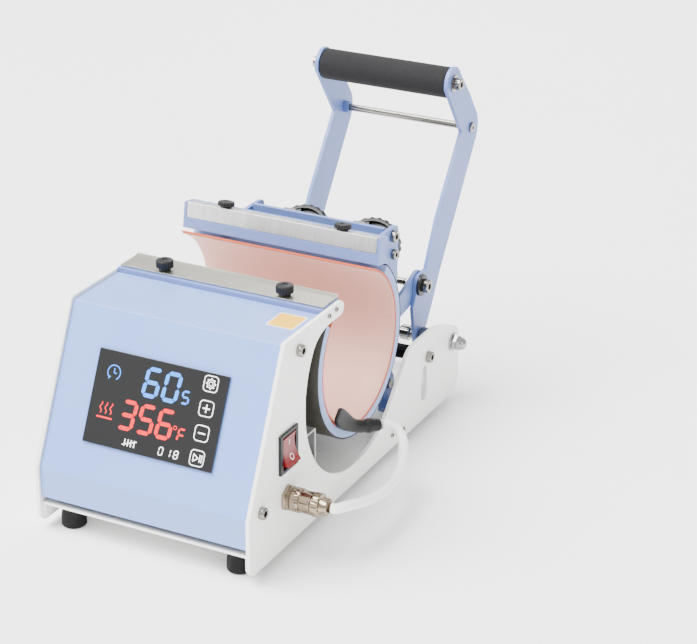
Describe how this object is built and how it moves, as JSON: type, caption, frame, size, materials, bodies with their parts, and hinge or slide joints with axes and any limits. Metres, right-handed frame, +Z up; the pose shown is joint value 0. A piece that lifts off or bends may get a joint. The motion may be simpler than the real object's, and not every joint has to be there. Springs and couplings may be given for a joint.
{
  "type": "mug heat press",
  "caption": "Bench heat press whose hand lever closes a heated wrap around a mug, with a sloped touch panel on its control box.",
  "frame": {"origin": "on the floor under the middle of the machine's own box, measured without the heater cable, its plug and its boot", "axes": "+Z up; +Y from the touch panel towards the lever; +X to the operator's right, the side with the switch and the heater cable"},
  "size_m": [0.2427, 0.4418, 0.2665],
  "materials": {
    "side_plate_left": "smooth white powder coat",
    "side_plate_right": "smooth white powder coat",
    "front_cover": "satin pale blue powder coat",
    "base_pan": "smooth white powder coat",
    "box_rear_wall": "galvanised, light grey",
    "front_clamp_bar": "fine-textured blue powder coat",
    "front_clamp_strip": "bright zinc plating",
    "touch_panel": "glossy black screen",
    "control_board": "circuit board with moulded blocks",
    "switch_housing": "moulded black plastic",
    "switch_rocker": "glossy red plastic",
    "panel_socket": "bright nickel plating",
    "cable_plug": "bright nickel plating",
    "heater_cable": "smooth white sheath",
    "cable_boot": "matt black rubber",
    "mains_inlet": "moulded black plastic",
    "foot_front_left": "matt black rubber",
    "foot_front_right": "matt black rubber",
    "foot_rear_left": "matt black rubber",
    "foot_rear_right": "matt black rubber",
    "cover_screw_lower_left": "bright zinc plating",
    "cover_screw_lower_right": "bright zinc plating",
    "cover_screw_upper_left": "bright zinc plating",
    "cover_screw_upper_right": "bright zinc plating",
    "stop_bar_sleeve": "matt black rubber",
    "stop_bar_rod": "bright zinc plating",
    "lever_shaft": "bright chrome plating",
    "acorn_nut_left": "bright chrome plating",
    "acorn_nut_right": "bright chrome plating",
    "frame_bracket_left": "fine-textured blue powder coat",
    "frame_bracket_right": "fine-textured blue powder coat",
    "frame_shaft": "bright chrome plating",
    "front_heater_mat": "woven-textured silicone rubber",
    "rear_heater_mat": "woven-textured silicone rubber",
    "front_heater_pad": "silicone sponge with a dark skin",
    "rear_heater_pad": "silicone sponge with a dark skin",
    "rear_clamp_bar": "coarsely brushed",
    "rear_jaw": "fine-textured blue powder coat",
    "frame_arm_left": "fine-textured blue powder coat",
    "frame_arm_right": "fine-textured blue powder coat",
    "frame_crossbar": "fine-textured blue powder coat",
    "frame_cross_shaft": "bright zinc plating",
    "pressure_rod_left": "bright chrome plating",
    "pressure_rod_right": "bright chrome plating",
    "pressure_wheel_left": "moulded black plastic",
    "pressure_wheel_right": "moulded black plastic",
    "lever_arm_left": "fine-textured blue powder coat",
    "lever_arm_right": "fine-textured blue powder coat",
    "stop_hook_left": "fine-textured blue powder coat",
    "stop_hook_right": "fine-textured blue powder coat",
    "hook_bolt_left": "bright zinc plating",
    "hook_bolt_right": "bright zinc plating",
    "crank_shaft": "bright chrome plating",
    "cross_rod": "bright chrome plating",
    "grip_foam": "closed-cell foam sleeve",
    "grip_rod": "bright zinc plating",
    "front_knob_left": "moulded black plastic",
    "front_knob_right": "moulded black plastic",
    "rear_knob_left": "moulded black plastic",
    "rear_knob_right": "moulded black plastic"
  },
  "bodies": {
    "machine": {"side_plate_left": "side_plate_left", "side_plate_right": "side_plate_right", "front_cover": "front_cover", "base_pan": "base_pan", "box_rear_wall": "box_rear_wall", "front_clamp_bar": "front_clamp_bar", "front_clamp_strip": "front_clamp_strip", "touch_panel": "touch_panel", "control_board": "control_board", "switch_housing": "switch_housing", "panel_socket": "panel_socket", "cable_plug": "cable_plug", "heater_cable": "heater_cable", "cable_boot": "cable_boot", "mains_inlet": "mains_inlet", "foot_front_left": "foot_front_left", "foot_front_right": "foot_front_right", "foot_rear_left": "foot_rear_left", "foot_rear_right": "foot_rear_right", "cover_screw_lower_left": "cover_screw_lower_left", "cover_screw_lower_right": "cover_screw_lower_right", "cover_screw_upper_left": "cover_screw_upper_left", "cover_screw_upper_right": "cover_screw_upper_right", "stop_bar_sleeve": "stop_bar_sleeve", "stop_bar_rod": "stop_bar_rod", "lever_shaft": "lever_shaft", "acorn_nut_left": "acorn_nut_left", "acorn_nut_right": "acorn_nut_right", "frame_bracket_left": "frame_bracket_left", "frame_bracket_right": "frame_bracket_right", "frame_shaft": "frame_shaft", "front_heater_mat": "front_heater_mat", "front_heater_pad": "front_heater_pad"},
    "clamp_frame": {"frame_arm_left": "frame_arm_left", "frame_arm_right": "frame_arm_right", "frame_crossbar": "frame_crossbar", "frame_cross_shaft": "frame_cross_shaft", "rear_jaw": "rear_jaw", "rear_clamp_bar": "rear_clamp_bar", "rear_heater_mat": "rear_heater_mat", "rear_heater_pad": "rear_heater_pad"},
    "pressure_rods": {"pressure_rod_left": "pressure_rod_left", "pressure_rod_right": "pressure_rod_right"},
    "lever": {"lever_arm_left": "lever_arm_left", "lever_arm_right": "lever_arm_right", "stop_hook_left": "stop_hook_left", "stop_hook_right": "stop_hook_right", "hook_bolt_left": "hook_bolt_left", "hook_bolt_right": "hook_bolt_right", "crank_shaft": "crank_shaft", "grip_foam": "grip_foam", "grip_rod": "grip_rod", "cross_rod": "cross_rod"},
    "wheel_left": {"pressure_wheel_left": "pressure_wheel_left"},
    "wheel_right": {"pressure_wheel_right": "pressure_wheel_right"},
    "front_knob_left": {"front_knob_left": "front_knob_left"},
    "front_knob_right": {"front_knob_right": "front_knob_right"},
    "rear_knob_left": {"rear_knob_left": "rear_knob_left"},
    "rear_knob_right": {"rear_knob_right": "rear_knob_right"},
    "switch_rocker": {"switch_rocker": "switch_rocker"}
  },
  "joints": [
    {"name": "lever_pivot", "type": "hinge", "parent": "machine", "child": "lever", "pos_m": [0, 0.11506, 0.053], "axis": [1, 0, 0], "range_deg": [0, 28]},
    {"name": "frame_pivot", "type": "hinge", "parent": "machine", "child": "clamp_frame", "pos_m": [0, 0.04106, 0.042], "axis": [1, 0, 0], "range_deg": [0, 6.66]},
    {"name": "rod_swivel", "type": "hinge", "parent": "clamp_frame", "child": "pressure_rods", "pos_m": [0, 0.05706, 0.161], "axis": [1, 0, 0], "range_deg": [-13.03, 0]},
    {"name": "wheel_left_spin", "type": "hinge", "parent": "pressure_rods", "child": "wheel_left", "pos_m": [-0.031, 0.07786, 0.13801], "axis": [0, 0.6709, -0.7415], "continuous": true},
    {"name": "wheel_right_spin", "type": "hinge", "parent": "pressure_rods", "child": "wheel_right", "pos_m": [0.031, 0.07786, 0.13801], "axis": [0, 0.6709, -0.7415], "continuous": true},
    {"name": "front_knob_left_turn", "type": "hinge", "parent": "machine", "child": "front_knob_left", "pos_m": [-0.0505, -0.09794, 0.172], "axis": [0, 0, 1], "continuous": true},
    {"name": "front_knob_right_turn", "type": "hinge", "parent": "machine", "child": "front_knob_right", "pos_m": [0.0505, -0.09794, 0.172], "axis": [0, 0, 1], "continuous": true},
    {"name": "rear_knob_left_turn", "type": "hinge", "parent": "clamp_frame", "child": "rear_knob_left", "pos_m": [-0.0505, -0.00734, 0.18548], "axis": [0, 0.1736, 0.9848], "continuous": true},
    {"name": "rear_knob_right_turn", "type": "hinge", "parent": "clamp_frame", "child": "rear_knob_right", "pos_m": [0.0505, -0.00734, 0.18548], "axis": [0, 0.1736, 0.9848], "continuous": true},
    {"name": "switch_rocker_tilt", "type": "hinge", "parent": "machine", "child": "switch_rocker", "pos_m": [0.086, -0.16594, 0.083], "axis": [0, 1, 0], "range_deg": [0, 22]}
  ],
  "couplings": [
    {"joint": "frame_pivot", "follows": "lever_pivot", "ratio": 0.2375},
    {"joint": "rod_swivel", "follows": "lever_pivot", "ratio": -0.465}
  ]
}
